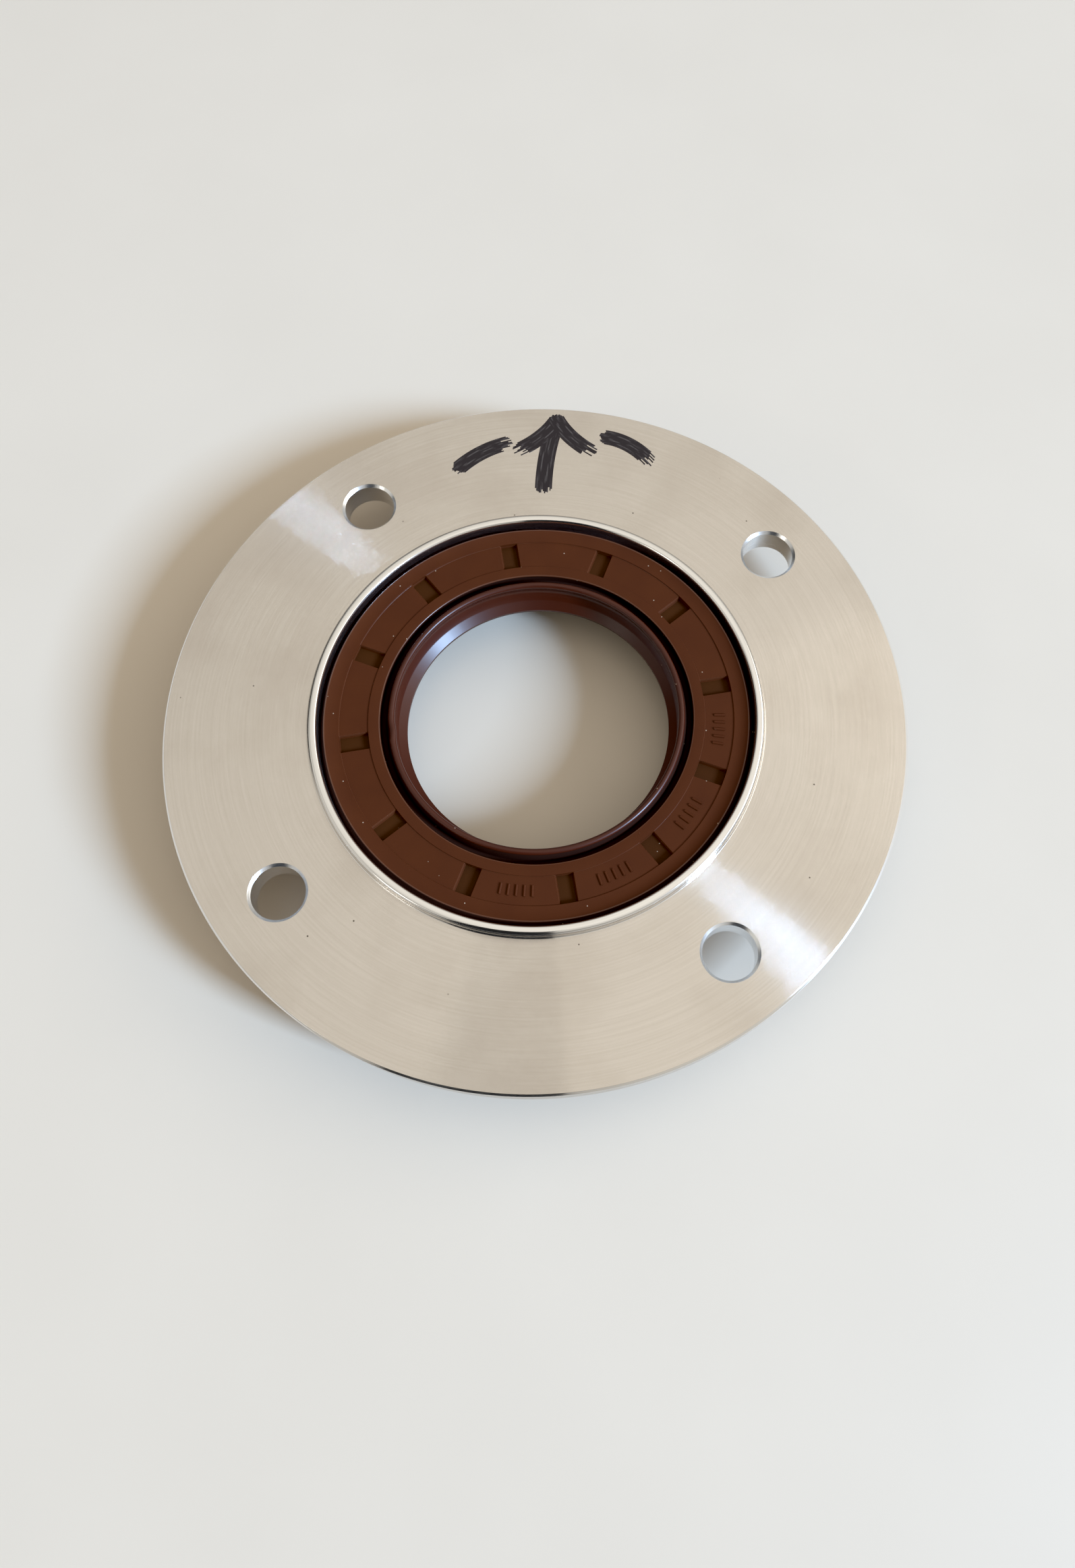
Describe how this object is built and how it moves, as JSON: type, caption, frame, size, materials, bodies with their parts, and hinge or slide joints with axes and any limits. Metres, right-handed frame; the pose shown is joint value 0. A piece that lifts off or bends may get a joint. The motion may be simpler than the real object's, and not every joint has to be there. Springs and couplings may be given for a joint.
{
  "type": "rear main seal with housing",
  "caption": "Round turned aluminium flange with bolt holes, a raised collar and a pilot hub, carrying a moulded rubber double-lip shaft seal that closes a crankcase around its shaft.",
  "frame": {"origin": "centre of the hub's back face, on the shaft's axis", "axes": "+Z along the shaft's axis towards the air side of the seal; +X and +Y lie midway between neighbouring bolt holes"},
  "size_m": [0.1242, 0.1242, 0.0159],
  "materials": {
    "housing_aluminium": "turned",
    "seal_rubber": "satin",
    "insert_steel": "satin",
    "spring_steel": "bright"
  },
  "bodies": {
    "root": {"housing": "housing_aluminium", "seal_body": "seal_rubber", "steel_case": "insert_steel", "garter_spring": "spring_steel"}
  },
  "joints": []
}
